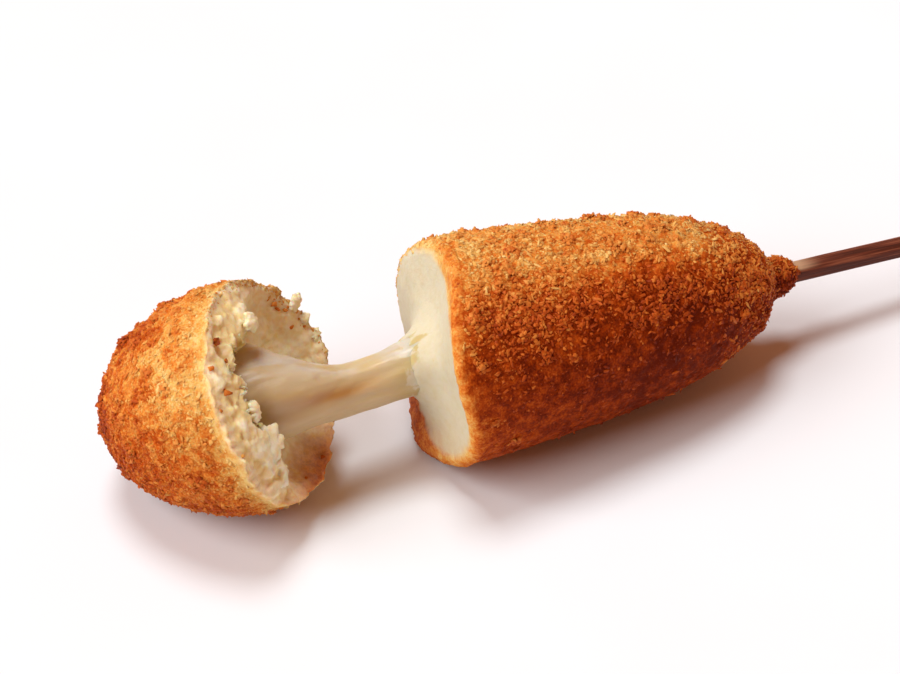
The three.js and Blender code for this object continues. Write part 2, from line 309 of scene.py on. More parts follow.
# ---- materials ----
class Shader:
    """A procedural material around one Principled shader. Lengths are in millimetres."""

    def __init__(self, name, color, **sockets):
        self.material = bpy.data.materials.new(name)
        self.material.use_nodes = True
        self.material.diffuse_color = (*color, 1)
        self.tree = self.material.node_tree
        self.surface = self.tree.nodes["Principled BSDF"]
        for key, value in sockets.items():
            self.surface.inputs[key.replace("_", " ")].default_value = value
        at = self.node("ShaderNodeTexCoord").outputs["Object"]
        inputs = {0: at, 3: 1 / MM}
        self.place = self.node("ShaderNodeVectorMath", {"operation": "SCALE"}, inputs).outputs[0]

    def node(self, kind, settings=(), inputs=()):
        """A new node with these settings, and with a number or a link in each of these inputs."""
        made = self.tree.nodes.new(kind)
        for key, value in dict(settings).items():
            setattr(made, key, value)
        for key, value in dict(inputs).items():
            self.put(made.inputs[key], value)
        return made

    def put(self, socket, value):
        if isinstance(value, bpy.types.NodeSocket):
            self.tree.links.new(value, socket)
        else:
            socket.default_value = value

    def attribute(self, name):
        return self.node("ShaderNodeAttribute", {"attribute_name": name}).outputs["Fac"]

    def noise(self, size, detail=2.0, place=None, distortion=0.0):
        inputs = dict(Vector=place or self.place, Scale=1 / size, Detail=detail, Distortion=distortion)
        return self.node("ShaderNodeTexNoise", {}, inputs).outputs["Fac"]

    def stretched(self, sizes, turn=0.0):
        """The place, with each axis measured in its own unit, turned about Y first."""
        inputs = {"Vector": self.place, "Angle": turn}
        turned = self.node("ShaderNodeVectorRotate", {"rotation_type": "Y_AXIS"}, inputs).outputs[0]
        inputs = {0: turned, 1: tuple(1 / s for s in sizes)}
        return self.node("ShaderNodeVectorMath", {"operation": "MULTIPLY"}, inputs).outputs[0]

    def math(self, operation, a, b=0.0, clamp=False):
        made = self.node("ShaderNodeMath", {"operation": operation, "use_clamp": clamp}, {0: a, 1: b})
        return made.outputs[0]

    def range(self, value, low, high, to_low=0.0, to_high=1.0):
        """Takes a value's range from low to high over to another, with eased ends."""
        inputs = {"Value": value, "From Min": low, "From Max": high, "To Min": to_low, "To Max": to_high}
        return self.node("ShaderNodeMapRange", {"interpolation_type": "SMOOTHSTEP"}, inputs).outputs[0]

    def milky_patches(self):
        """Ragged patches of milky white that close up as the attribute "milky" goes from 0 to 1."""
        level = self.math("ADD", self.noise(4.0, 3, distortion=0.5), self.attribute("milky"))
        return self.range(level, 0.94, 1.04)

    def ramp(self, value, stops):
        made = self.node("ShaderNodeValToRGB", {}, {"Fac": value})
        elements = made.color_ramp.elements
        while len(elements) < len(stops):
            elements.new(0.5)
        for element, (position, color) in zip(elements, stops):
            element.position, element.color = position, (*color, 1)
        return made.outputs["Color"]

    def mix(self, share, a, b):
        """Colour a with a share of colour b over it."""
        made = self.node("ShaderNodeMix", {"data_type": "RGBA"})
        for key, value in (("Factor", share), ("A", a), ("B", b)):
            socket = [s for s in made.inputs if s.name == key and s.enabled][0]
            self.put(socket, (*value, 1) if isinstance(value, tuple) else value)
        return [s for s in made.outputs if s.enabled][0]

    def finish(self, color, roughness, *bumps):
        """Sets the colour and roughness, and stacks bumps of (height, depth)."""
        self.put(self.surface.inputs["Base Color"], color)
        self.put(self.surface.inputs["Roughness"], roughness)
        normal = self.surface.inputs["Normal"]
        for height, depth in reversed(bumps):
            bump = self.node("ShaderNodeBump", {}, {"Height": height, "Distance": depth * MM})
            self.put(normal, bump.outputs[0])
            normal = bump.inputs["Normal"]
        return self.material


FRIED = [  # from bread that barely coloured to crumbs that fried dark
    (0.0, (0.74, 0.50, 0.18)), (0.2, (0.68, 0.35, 0.085)), (0.4, (0.62, 0.195, 0.028)),
    (0.6, (0.46, 0.078, 0.006)), (0.8, (0.26, 0.030, 0.002)), (1.0, (0.12, 0.011, 0.001)),
]
MEDIUM_FRIED = FRIED[3][1]
CREAM, CREAM_SHADE = (0.585, 0.52, 0.37), (0.565, 0.485, 0.31)  # the body's torn face
TORN, TORN_SHADE = (0.91, 0.88, 0.66), (0.87, 0.71, 0.34)  # the tip's torn bread; the second is its yellower tone, laid at random and as painted shade in the bread's recesses
OLIVE = (0.50, 0.385, 0.17)  # thin melted cheese over the torn face
CHEESE_PAINTED_SHEEN = (0.58, 0.53, 0.45)  # painted highlight: a whitish sheen painted along the strand's upper side, where light catches it
# the last of these is painted shade, laid in the fold along the strand
CHEESE, CHEESE_SHADE, CHEESE_CREASE_SHADE = (0.58, 0.455, 0.255), (0.53, 0.38, 0.155), (0.46, 0.23, 0.06)
WOOD = [(0.3, (0.04, 0.008, 0.003)), (0.5, (0.11, 0.022, 0.009)), (0.68, (0.24, 0.070, 0.032))]
WOOD_PORES, WOOD_BARE, WOOD_PLAIN = (0.06, 0.02, 0.012), (0.60, 0.38, 0.22), (0.30, 0.12, 0.08)
BREAD_SCATTER, CHEESE_SCATTER = (1.0, 0.45, 0.15), (1.0, 0.55, 0.22)  # red, green, blue


def crust_material(name, bread_colors, mottling, glow, reach, shine):
    """The finish of batter, bread and crumbs; glow is the share of light that passes under the surface,
    and reach is how far."""
    s = Shader(
        name, MEDIUM_FRIED, Specular_IOR_Level=shine, Subsurface_Weight=glow,
        Subsurface_Scale=reach * MM, Subsurface_Radius=BREAD_SCATTER,
    )
    grains = s.range(s.noise(0.5, 3), 0.3, 0.7, -mottling, mottling)
    blotches = s.range(s.noise(2.4, 2), 0.35, 0.65, -mottling, mottling)
    tone = s.math("ADD", s.math("ADD", s.attribute("tone"), grains), blotches, clamp=True)
    fried = s.ramp(tone, FRIED)
    # bread is whiter at random, and yellower where painted shade lies in its recesses
    whiteness_less_shade = s.math("SUBTRACT", s.noise(1.6, 3), s.attribute("hollow"))
    bread = s.ramp(whiteness_less_shade, list(zip((0.2, 0.6), bread_colors)))
    color = s.mix(s.attribute("bread"), fried, s.mix(s.milky_patches(), OLIVE, bread))
    roughness = s.range(s.noise(0.7, 2), 0.3, 0.7, 0.42, 0.68)
    return s.finish(color, roughness, (s.noise(0.55, 3), 0.11), (s.noise(0.22, 2), 0.04))


def cheese_material():
    s = Shader(
        "melted_cheese", CREAM, Specular_IOR_Level=0.5, Subsurface_Weight=0.6,
        Subsurface_Scale=3 * MM, Subsurface_Radius=CHEESE_SCATTER,
    )
    fibres = s.noise(1.0, 3, s.stretched((14, 0.7, 0.7)))
    streaks = s.range(s.noise(1.0, 2, s.stretched((12, 3, 3))), 0.35, 0.65, 0, 0.45)
    color = s.mix(streaks, CHEESE, CHEESE_SHADE)
    color = s.mix(s.range(s.attribute("milky"), 0.1, 0.5), color, s.mix(s.milky_patches(), OLIVE, CREAM))
    # painted highlight along the strand's upper side
    color = s.mix(s.attribute("sheen"), color, CHEESE_PAINTED_SHEEN)
    # painted shade in the fold along the strand
    color = s.mix(s.attribute("crease"), color, CHEESE_CREASE_SHADE)
    roughness = s.range(fibres, 0.3, 0.7, 0.32, 0.45)
    return s.finish(color, roughness, (fibres, 0.06))


def wood_material():
    s = Shader("stick_wood", WOOD_PLAIN, Specular_IOR_Level=0.2)
    along = math.radians(-BODY_TILT)
    grain = s.noise(1.0, 4, s.stretched((16, 0.42, 0.42), along))
    pores = s.noise(1.0, 2, s.stretched((4, 0.16, 0.16), along))
    color = s.mix(s.range(pores, 0.55, 0.75, 0, 0.6), s.ramp(grain, WOOD), WOOD_PORES)
    color = s.mix(s.attribute("bare"), color, WOOD_BARE)
    return s.finish(color, s.range(grain, 0.3, 0.7, 0.5, 0.66), (grain, 0.12), (pores, 0.08))


crust = crust_material(
    "fried_crust", (CREAM_SHADE, CREAM), mottling=0.10, glow=0.35, reach=1.2, shine=0.03,
)
tip_skin = crust_material(
    "tip_crust_and_bread", (TORN_SHADE, TORN), mottling=0.10, glow=0.5, reach=1.8, shine=0.03,
)
crumb_skin = crust_material(
    "fried_crumbs", (TORN_SHADE, TORN), mottling=0.05, glow=0.0, reach=1.2, shine=0.12,
)
cheese_skin = cheese_material()
wood = wood_material()


# ---- crust and bread of the body ----
EDGE_ROUNDING = 2.4  # radius of the corner round the torn face


def body_surface():
    """Points and triangles of the body, and for each point its angle round the mouth in degrees, how far
    behind the torn edge it lies, which is below 0 on the torn face, and its depth."""
    outline, along = even_line(BODY_OUTLINE, GRID)
    edge_depth, edge_radius = BODY_OUTLINE[0]
    mean = BODY_TEAR[0]
    rings, rows = [], []

    def add_ring(depth, radius, angle, behind):
        if abs(behind) < EDGE_ROUNDING:
            turn = (behind / EDGE_ROUNDING + 1) * math.pi / 4
            radius = edge_radius - EDGE_ROUNDING * (1 - math.sin(turn))
            depth = tear_depth(BODY_TEAR, angle) + EDGE_ROUNDING * (1 - math.cos(turn))
        rings.append(body_mouth.polar(depth, radius, angle))
        rows.append((angle, behind, depth))

    for radius in np.arange(GRID, edge_radius - GRID / 2, GRID):
        angle = ring_angles(sides_at(radius))
        depth = mean + radius / edge_radius * (tear_depth(BODY_TEAR, angle) - mean)
        add_ring(depth, radius, angle, radius - edge_radius)
    for (depth, radius), behind in zip(outline, along):
        angle = ring_angles(sides_at(radius))
        shift = (1 - smoothstep(depth, edge_depth, TEAR_FADE)) * (tear_depth(BODY_TEAR, angle) - edge_depth)
        add_ring(depth + shift, radius, angle, behind)
    ends = [body_mouth.polar(d, 0, 0) for d in (mean, BODY_OUTLINE[-1][0] + END_CAP)]
    points, triangles = closed_surface(ends[0], rings, ends[1])
    angle, behind, depth = (spread(rings, lambda n, k=k: rows[n][k]) for k in range(3))
    return points, triangles, np.degrees(angle), behind, depth


def body_grain(angle, depth):
    """How granular the coating is: most on top and on the far side, least low on the near side."""
    a = wrap(angle)
    smooth_side = smoothstep(a, -110, -60) * (1 - smoothstep(a, -15, 72))
    return np.clip(1 - 0.85 * smooth_side + 0.6 * smoothstep(depth, 50, 76), 0, 1)


def edge_reach(angle):
    """How far the crust's edge lies over the torn face."""
    a = wrap(angle)
    return 1.6 + 5.0 * hump(a, 80, 36) + 1.8 * hump(a, -12, 45) - 1.9 * hump(angle % 360, 172, 46)


def body_tone(p, angle, behind, depth):
    """How dark the crust fried, from 0 to 1: pale on top and at its torn edge."""
    a = wrap(angle)
    top = smoothstep(a, 44, 84) * (1 - smoothstep(a, 118, 175)) * (1 - 0.55 * smoothstep(depth, 56, 74))
    low = smoothstep(a, -120, -60) * (1 - smoothstep(a, -10, 50))
    tone = 0.76 - 0.44 * top + 0.05 * low + 0.09 * octaves(p, 11, 21) + 0.12 * octaves(p, 4.5, 22)
    tone += 0.07 * smoothstep(depth, 8, 45) * (1 - top) + 0.08 * smoothstep(depth, 77, 80)
    tone -= 0.10 * (1 - smoothstep(behind, 2, 14)) + 0.16 * hump(a, -62, 16) * (1 - smoothstep(depth, 4, 26))
    edge = (behind + edge_reach(angle) + 1.6 * octaves(p, 3.5, 23)) / (1 + 0.7 * hump(a, 85, 35))
    pale = np.interp(edge, (0, 1.5, 3, 5.5), (0.17, 0.28, 0.41, 0.52)) - 0.14 * hump(angle % 360, 140, 45)
    share = 1 - smoothstep(edge, 3, 9)
    return tone * (1 - share) + pale * share


def crust_relief(p, grain):
    """Height of the batter, which is knobbly where grain is 1 and softly uneven where it is 0."""
    knobs, small, grit = (domes(p, cell, seed) for cell, seed in ((2.7, 36), (1.5, 31), (1.0, 34)))
    rough = 0.45 * small + 0.30 * grit + 0.60 * knobs * smoothstep(noise(p, 5, 41), -0.1, 0.7)
    smooth = 0.30 * octaves(p, 3.4, 42) + 0.14 * noise(p, 1.4, 43)
    return grain * rough + (1 - grain) * smooth + 0.22 * octaves(p, 7, 44) + 0.10 * noise(p, 0.9, 45)


LIP_AT = (262, 28)  # where the crust stands past the face, round the mouth in degrees: middle and width
LIP_REACH, LIP_HEIGHT = 8, 1.6  # how far it covers the face, and how far it stands out
STRAND_ROOT = (0, 24.9, 6)  # y, z and radius where the strand meets the face
WEB_REACH = 6.5  # how far the strand draws the face out


def web_height(p, behind):
    """How far melted cheese draws the torn face out towards the strand, and how milky it is there."""
    across = p[:, 1:] - STRAND_ROOT[:2]
    off = np.clip(np.linalg.norm(across, axis=1) - STRAND_ROOT[2], 0, None)
    down = smoothstep(-unit(across)[:, 1], -0.4, 0.9)
    on_face = smoothstep(-behind, 0.5, 3)
    return on_face * WEB_REACH * np.exp(-off / (2.6 + 2.6 * down)), 1 - 0.5 * on_face * np.exp(-off / 7.5)


def build_body():
    points, triangles, angle, behind, depth = body_surface()
    normals = vertex_normals(points, triangles)
    rag = np.exp(-np.abs(behind) / 2.2) * octaves(points, 2.4, 51)
    points = points + 0.7 * rag[:, None] * body_mouth.out
    lip = hump(angle % 360, *LIP_AT)
    grain = body_grain(angle, depth) * smoothstep(behind, 0.5, 5)
    grain = np.maximum(grain, lip * smoothstep(behind, -11, -8))
    uneven = (0.9 + 1.5 * lip) * octaves(points, 2.6, 52)
    crust_from = edge_reach(angle) + LIP_REACH * lip
    bread = 1 - smoothstep(behind + crust_from + uneven, -1.4 + lip, 1.2 - 0.6 * lip)
    face = 0.30 * octaves(points, 6, 53) + 0.10 * octaves(points, 1.8, 54)
    height = bread * face + (1 - bread) * (crust_relief(points, grain) - INSET * smoothstep(behind, 0, 3))
    bread = bread + 0.12 * lip * (1 - bread)
    bread = bread * (1 - 0.35 * hump(angle % 360, 276, 42) * smoothstep(-behind, 15, 4))
    web, milky = web_height(points, behind)
    rim = LIP_HEIGHT * lip * smoothstep(behind, -8.5, -5) * (1 - smoothstep(behind, 0, 7))
    points = points + height[:, None] * normals + (web + rim)[:, None] * body_mouth.out
    tone = np.clip(body_tone(points, angle, behind, depth), 0, 1)
    tone = np.clip(tone - 0.12 * grain * (height - 0.2), 0, 1)
    tone = tone * (1 - lip) + np.clip(0.68 + 0.2 * octaves(points, 2.5, 55), 0, 1) * lip
    piece = make_mesh(
        "body_crust", above_table(points), triangles, crust, "crust", tone=tone, bread=bread, milky=milky,
    )
    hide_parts("body")
    return points, triangles, angle, behind, depth, tone


body = build_body()


# ---- tip ----
CRATER_LENGTH = 36  # of the crater's profile, which sets how many rings it has
BREAD_EDGE, BREAD_EDGE_WIDTH = 13.5, 3.5  # mean radius of the thick bread's inner edge, and its width
EDGE_LOBES = [(3.2, 118, 15), (-1.2, 150, 16), (-3.6, 186, 9), (2.5, 202, 8)]  # (outwards, angle, width)


def inner_edge(angle):
    """How far the thick bread's inner edge lies from its even round, in millimetres outwards."""
    around = BREAD_EDGE * np.stack([np.cos(angle), np.sin(angle), 0 * angle], -1)
    reach = 2.0 * ridged(around, 3, 65) - 0.6 + 1.1 * ridged(around, 1.1, 66)
    for outwards, middle, width in EDGE_LOBES:
        reach += outwards * hump(np.degrees(angle) % 360, middle, width)
    return reach


def tip_surface():
    """What body_surface gives, for the tip, and how far its bread is a thin wall at each point."""
    count = int(CRATER_LENGTH / GRID)
    thick, thin = (smooth_line(line, count + 1)[::-1] for line in (CRATER_THICK, CRATER_THIN))
    outline, along = even_line(TIP_OUTLINE, GRID)
    rings, rows = [], []
    for n in range(1, count):
        angle = ring_angles(sides_at(thick[n, 1]))
        thinness = smoothstep(np.cos(angle - math.radians(THIN_WALL_AT)), *THIN_WALL_BLEND)
        depth, radius = (thick[n, k] + thinness * (thin[n, k] - thick[n, k]) for k in (0, 1))
        radius = radius + inner_edge(angle) * hump(radius, BREAD_EDGE, BREAD_EDGE_WIDTH) * (1 - thinness)
        rings.append(tip_mouth.polar(depth + tear_depth(TIP_TEAR, angle) * n / count, radius, angle))
        rows.append((angle, radius - TIP_RADIUS, depth, thinness))
    for (depth, radius), behind in zip(outline, along):
        angle = ring_angles(sides_at(radius))
        shift = (1 - smoothstep(depth, 0, TEAR_FADE)) * tear_depth(TIP_TEAR, angle)
        rings.append(tip_mouth.polar(depth + shift, radius, angle))
        rows.append((angle, behind, depth + shift, 0))
    ends = [tip_mouth.polar(d, 0, 0) for d in (CRATER_THICK[-1][0], TIP_OUTLINE[-1][0] + END_CAP)]
    points, triangles = closed_surface(ends[0], rings, ends[1])
    angle, behind, depth, thinness = (spread(rings, lambda n, k=k: rows[n][k]) for k in range(4))
    return points, triangles, np.degrees(angle), behind, depth, thinness


def tip_tone(p, angle, behind, depth):
    """How dark the crust fried, from 0 to 1."""
    a = angle % 360
    tone = 0.45 + 0.08 * octaves(p, 9, 61) + 0.08 * octaves(p, 4, 62)
    tone += 0.22 * smoothstep(noise(p, 3.1, 64), 0.2, 0.45) * hump(a, 120, 45)
    tone += 0.14 * smoothstep(depth, 18, 36) - 0.24 * hump(a, 128, 34) * hump(depth, 9, 10)
    tone += 0.12 * hump(a, 285, 55) + 0.10 * hump(a, 188, 36) * smoothstep(depth, 3, 12)
    edge = behind + 2.4 * octaves(p, 4.5, 63)
    pale = 1 - smoothstep(edge, 1.5, 5.5 + 4 * hump(a, 115, 40))
    return tone * (1 - pale) + np.interp(edge, (0, 3, 8), (0.10, 0.20, 0.34)) * pale


def torn_relief(p, torn):
    """Height of the torn bread: ledges where it came apart in layers, lumps and tatters on them."""
    ledges = smoothstep(noise(p, 4.5, 73) + 0.5 * noise(p, 2.1, 77), -0.08, 0.14)
    deep = smoothstep(octaves(p, 5.5, 78), -0.35, 0.05)
    shreds = 0.3 * ridged(p, 2.6, 74) + 0.32 * ridged(p, 1.4, 75) + 0.2 * ridged(p, 0.9, 80)
    rough = 0.85 * ledges + 0.65 * deep + 0.5 * shreds - 1.35
    return torn * rough + (1 - torn) * 0.5 * octaves(p, 4, 79) + 0.3 * octaves(p, 1.3, 76)


def build_tip():
    points, triangles, angle, behind, depth, thinness = tip_surface()
    edge = np.exp(-np.abs(behind) / 2.5)
    rag = octaves(points, 4.5, 71) + 0.5 * octaves(points, 1.7, 70)
    points = points + (1.7 * edge * rag)[:, None] * tip_mouth.out
    normals = vertex_normals(points, triangles)
    bread = 1 - smoothstep(behind + 1.3 * octaves(points, 3, 72) + 0.5 * noise(points, 1, 69), -0.5, 0.9)
    torn = (1 - 0.8 * thinness) * smoothstep(-behind, 0, 2.5)
    grain = smoothstep(behind, 1, 6)
    coating = crust_relief(points, grain) - INSET * smoothstep(behind, 0, 3)
    height = bread * torn_relief(points, torn) + (1 - bread) * coating
    points = points + height[:, None] * normals
    tone = np.clip(tip_tone(points, angle, behind, depth) - 0.12 * grain * (height - 0.2), 0, 1)
    # the low side of the mouth darkens: partly thin bread that browned, partly painted shade on that wall
    browned_and_shaded = hump(angle % 360, 272, 34) * smoothstep(-behind, 11, 1)
    tone = np.where(behind < 0, np.clip(0.22 + 0.42 * browned_and_shaded + 0.06 * octaves(points, 3, 68), 0, 1), tone)
    tone = np.where(behind < 0, tone - 0.14 * np.exp(behind / 2.5), tone)
    bread = bread * (1 - 0.75 * browned_and_shaded) * (1 - 0.5 * np.exp(np.minimum(behind, 0) / 2.2))
    # painted shade: the torn bread turns yellower in its recesses, as if shaded
    hollow = 0.32 * torn * smoothstep(0.1 - height, -0.5, 1.1)
    piece = make_mesh(
        "tip_crust", above_table(points), triangles, tip_skin, "crust",
        tone=tone, bread=bread, milky=np.ones(len(points)), hollow=hollow,
    )
    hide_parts("tip")
    return points, triangles, angle, behind, depth, tone


tip = build_tip()


# ---- cheese ----
CHEESE_ROWS, CHEESE_SIDES = 300, 96
CHEESE_END = 1.5  # how far each rounded end reaches past its last ring


def build_cheese():
    line = smooth_line(CHEESE_PATH, CHEESE_ROWS)
    tangent = unit(np.gradient(line[:, :3], axis=0))
    angle = ring_angles(CHEESE_SIDES)
    rings, rows = [], []
    for (x, y, z, radius), ahead in zip(line, tangent):
        side = unit(np.cross([0, 0, 1], -ahead))
        rise = np.cross(-ahead, side)
        outwards = np.cos(angle)[:, None] * side + np.sin(angle)[:, None] * rise
        crease_at = 38 + 1.1 * (x + 55)
        # the fold is dented, and the same mask lays painted shade in it
        crease = hump(wrap(np.degrees(angle) - crease_at), 0, 15) * hump(x, -59, 10)
        waves = 1 + 0.035 * np.cos(2 * angle + 0.05 * x) + 0.02 * np.sin(3 * angle - 0.07 * x)
        folds = 0.05 * smoothstep(x, -60, -72) * np.cos(5 * angle + 0.06 * x) + 0.02 * np.cos(9 * angle + 1)
        reach = radius * (waves + folds) - 0.6 * crease
        ring = np.array([x, y, z]) + reach[:, None] * outwards
        # painted highlight: the upper side of the strand is whitened as if light shone on it
        painted_sheen_band = hump(wrap(np.degrees(angle)), 95, 26)
        sheen = 0.8 * painted_sheen_band * smoothstep(noise(ring, (7, 1.6, 1.6), 84), -0.7, 0)
        rings.append(ring)
        rows.append((crease, 0.5 * smoothstep(x, -52, -39), sheen))
    ends = [line[0, :3] - CHEESE_END * tangent[0], line[-1, :3] + CHEESE_END * tangent[-1]]
    points, triangles = closed_surface(ends[0], rings, ends[1])
    crease, milky, sheen = (spread(rings, lambda n, k=k: rows[n][k]) for k in range(3))
    normals = vertex_normals(points, triangles)
    height = 0.12 * noise(points, (9, 1.1, 1.1), 81) + 0.10 * noise(points, (5, 0.6, 0.6), 82)
    height = height + 0.25 * octaves(points, 5, 83)
    points = points + height[:, None] * normals
    piece = make_mesh(
        "cheese_strand", points, triangles, cheese_skin, "cheese", crease=crease, milky=milky, sheen=sheen,
    )
    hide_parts("cheese")


build_cheese()


# ---- stick ----
STICK_SIDES, STICK_SPACING = 64, 0.6
STICK_BEVEL = [(0, 0.25), (0.1, 0.12), (0.3, 0.03)]  # (distance from the end, how far inside the outline)
STICK_EVEN_FROM = 0.8  # where the even rings start, from the end inside the food
BARE_END = (85, 95)  # the depths between which the wood that is bare on top ends


def build_stick():
    angle = ring_angles(STICK_SIDES)
    n = STICK_SQUARENESS
    reach = STICK_WIDTH / 2 * (np.abs(np.cos(angle)) ** n + np.abs(np.sin(angle)) ** n) ** (-1 / n)
    even = np.arange(STICK_FROM + STICK_EVEN_FROM, STICK_TO - STICK_SPACING, STICK_SPACING)
    stations = [(STICK_FROM + d, inset) for d, inset in STICK_BEVEL]
    stations += [(d, 0) for d in even]
    stations += [(STICK_TO - d, inset) for d, inset in STICK_BEVEL[::-1]]
    rings = []
    for depth, inset in stations:
        place = np.stack([np.full(STICK_SIDES, depth), reach * np.cos(angle), reach * np.sin(angle)], 1)
        grooves = 0.09 * noise(place, (30, 0.7, 0.7), 91) + 0.05 * noise(place, (12, 0.35, 0.35), 92)
        rings.append(body_mouth.polar(depth, reach + grooves - inset, angle))
    ends = [body_mouth.polar(d, 0, 0) for d in (STICK_FROM, STICK_TO)]
    points, triangles = closed_surface(ends[0], rings, ends[1])
    axes = np.stack([-body_mouth.out, body_mouth.side, body_mouth.rise], 1)
    x, _, z = ((points - body_mouth.centre) @ axes).T
    bare = (1 - smoothstep(x, *BARE_END)) * smoothstep(z, 1.4, 1.9)
    piece = make_mesh("stick", points, triangles, wood, "stick_wood", bare=bare)
    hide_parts("stick")


build_stick()


# ---- crumbs of the coating ----
GOLDEN = (1 + math.sqrt(5)) / 2
GRAIN = (  # six points for the fine crumbs
    np.array([(1, 0, 0), (-1, 0, 0), (0, 1, 0), (0, -1, 0), (0, 0, 1), (0, 0, -1)], float),
    np.array([(0, 2, 4), (2, 1, 4), (1, 3, 4), (3, 0, 4), (2, 0, 5), (1, 2, 5), (3, 1, 5), (0, 3, 5)]),
)
FLAKE = (  # twelve points for the larger ones
    unit(np.array([
        (-1, GOLDEN, 0), (1, GOLDEN, 0), (-1, -GOLDEN, 0), (1, -GOLDEN, 0),
        (0, -1, GOLDEN), (0, 1, GOLDEN), (0, -1, -GOLDEN), (0, 1, -GOLDEN),
        (GOLDEN, 0, -1), (GOLDEN, 0, 1), (-GOLDEN, 0, -1), (-GOLDEN, 0, 1),
    ])),
    np.array([
        (0, 11, 5), (0, 5, 1), (0, 1, 7), (0, 7, 10), (0, 10, 11), (1, 5, 9), (5, 11, 4),
        (11, 10, 2), (10, 7, 6), (7, 1, 8), (3, 9, 4), (3, 4, 2), (3, 2, 6), (3, 6, 8),
        (3, 8, 9), (4, 9, 5), (2, 4, 11), (6, 2, 10), (8, 6, 7), (9, 8, 1),
    ]),
)
GRAIN_SIZES, FLAKE_LENGTHS, CLUMPED_SIZES, BIT_SIZES = (0.42, 1.15), (0.9, 2.6), (0.6, 1.5), (0.6, 2.2)
SMALL_HEAPS = (0.8, 1.9)  # their sizes
HEAP_HEIGHT = 0.6  # of a heap, as a share of its size
SOFTNESS = 0.9  # how much the shading of crumbs follows the ground that they stick to
CRUST_DEGREE, MOUTH_DEGREE = 0.4, 0.35  # about how long one degree is round the crust and in the mouth


class Surface:
    """The surface of one half, as the places where crumbs can stick."""

    def __init__(self, points, triangles, angle, behind, depth, tone):
        a, b, c = (points[triangles[:, n]] for n in range(3))
        cross = np.cross(b - a, c - a)
        self.area = np.linalg.norm(cross, axis=1)
        self.at, self.normals = (a + b + c) / 3, unit(cross)
        first = triangles[:, 0]
        self.angle, self.behind, self.depth, self.tone = (v[first] for v in (angle, behind, depth, tone))

    def scatter(self, count, density):
        """The faces that crumbs stick to, drawn by area times density."""
        weight = self.area * density(self)
        return RNG.choice(len(weight), count, p=weight / weight.sum())

    def clusters(self, centres, sizes, crumbs):
        """Faces near each centre, nearer for small sizes, and how high the crumbs are heaped there."""
        faces, heights = [], []
        for centre, size in zip(centres, sizes):
            off = np.linalg.norm(self.at - self.at[centre], axis=1) / size
            weight = np.exp(-2 * off**2) * self.area
            chosen = RNG.choice(len(weight), crumbs, p=weight / weight.sum())
            faces.append(chosen)
            heights.append(HEAP_HEIGHT * size * np.exp(-2 * off[chosen] ** 2) * RNG.random(crumbs))
        return np.concatenate(faces), np.concatenate(heights)

    def face_at(self, angle, depth):
        """The face of the crust that is nearest to an angle and a depth."""
        off = (wrap(self.angle - angle) * CRUST_DEGREE) ** 2 + (self.depth - depth) ** 2
        return int(np.argmin(np.where(self.behind < 0, np.inf, off)))


def lumps(shape, at, normals, length, width, height, tone, raised=0.2, tilt=0.45):
    """Points, triangles, tones and ground normals of small uneven lumps that stick to a surface."""
    points, triangles = shape
    ground = np.repeat(normals, len(points), axis=0)
    count, corners = len(at), len(points)
    normals = unit(normals + tilt * RNG.normal(size=(count, 3)))
    along = unit(np.cross(normals, RNG.normal(size=(count, 3))))
    axes = np.stack([along, np.cross(normals, along), normals], 1)
    stretch = RNG.uniform(0.6, 1.3, (count, corners, 1))
    uneven = points * stretch + RNG.normal(0, 0.13, (count, corners, 3))
    scale = np.stack(np.broadcast_arrays(length, width, height), 1) / 2
    centre = at + normals * (raised * scale[:, 2:])
    placed = centre[:, None] + np.einsum("nvk,nkd->nvd", uneven * scale[:, None], axes)
    faces = triangles[None] + corners * np.arange(count)[:, None, None]
    tones = np.repeat(tone, corners) + RNG.normal(0, 0.02, corners * count)
    return placed.reshape(-1, 3), faces.reshape(-1, 3), np.clip(tones, 0, 1), ground


def add_crumbs(name, *parts, skin=crumb_skin, bread=0):
    """One piece of all the crumbs in the parts, which are what lumps gives."""
    points = above_table(np.concatenate([part[0] for part in parts]))
    starts = np.cumsum([0] + [len(part[0]) for part in parts[:-1]])
    triangles = np.concatenate([part[1] + start for part, start in zip(parts, starts)])
    tone, ground = (np.concatenate([part[n] for part in parts]) for n in (2, 3))
    normals = unit(vertex_normals(points, triangles) + SOFTNESS * ground)
    make_mesh(
        name, points, triangles, skin, "crust", normals,
        tone=tone, bread=np.full(len(tone), bread), milky=np.ones(len(tone)),
    )


def draw(low, high, count, skew=1.0):
    """Random numbers from low to high, mostly low ones where skew is above 1."""
    return low + (high - low) * RNG.random(count) ** skew


def grains(surface, count, density, lighter, variety):
    """Fine crumbs, each with a tone of its own a little lighter than what it sticks to."""
    k = surface.scatter(count, density)
    size = draw(*GRAIN_SIZES, count, 1.5)
    tone = surface.tone[k] - lighter(surface, k) + variety * RNG.normal(size=count)
    width, height = size * draw(0.6, 0.95, count), size * draw(0.25, 0.5, count)
    at, normals = surface.at[k], surface.normals[k]
    return lumps(GRAIN, at, normals, size, width, height, tone, raised=0.0, tilt=0.22)


def flakes(surface, count, density, lighter, variety):
    """Longer crumbs, lying or standing."""
    k = surface.scatter(count, density)
    length = draw(*FLAKE_LENGTHS, count, 1.8)
    tone = surface.tone[k] - lighter(surface, k) + variety * RNG.normal(size=count)
    width, height = draw(0.45, 1.0, count), draw(0.35, 0.7, count)
    at, normals = surface.at[k], surface.normals[k]
    return lumps(FLAKE, at, normals, length, width, height, tone, raised=0.4, tilt=0.4)


